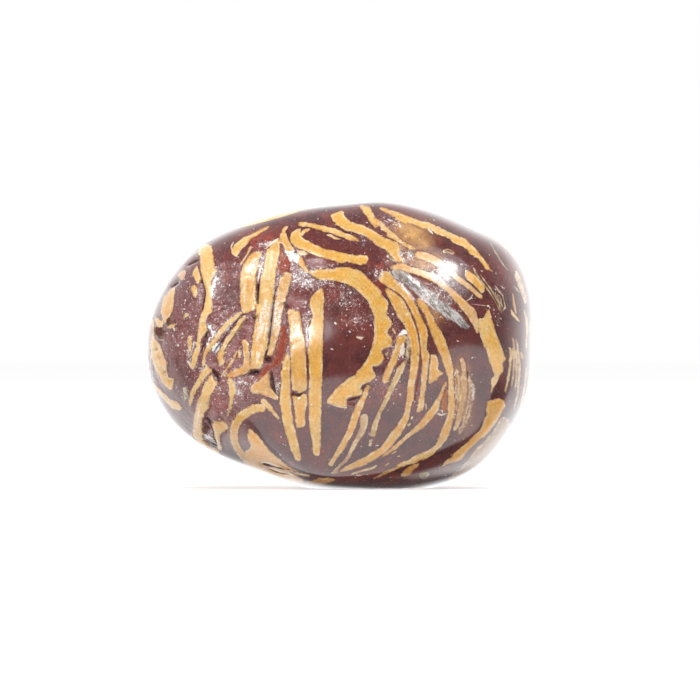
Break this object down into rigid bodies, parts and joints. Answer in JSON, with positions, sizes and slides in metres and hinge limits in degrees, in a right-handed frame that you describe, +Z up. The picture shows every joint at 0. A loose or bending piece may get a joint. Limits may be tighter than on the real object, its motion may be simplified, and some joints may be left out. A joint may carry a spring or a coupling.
{
  "type": "polished jasper pebble",
  "caption": "Small tumbled jasper pebble, plum-red with curved golden fragments, domed front and back, resting on a small flat spot.",
  "frame": {"origin": "on the surface the stone rests on, under the middle of its length and depth", "axes": "+X along the stone's length, -Y towards the broad front dome, +Z up from the flat spot"},
  "size_m": [0.015, 0.0116, 0.0111],
  "materials": {
    "jasper": "polished plum-red matrix with golden-yellow curved fragments; partly unpolished on the left"
  },
  "bodies": {
    "root": {"stone": "jasper"}
  },
  "joints": []
}
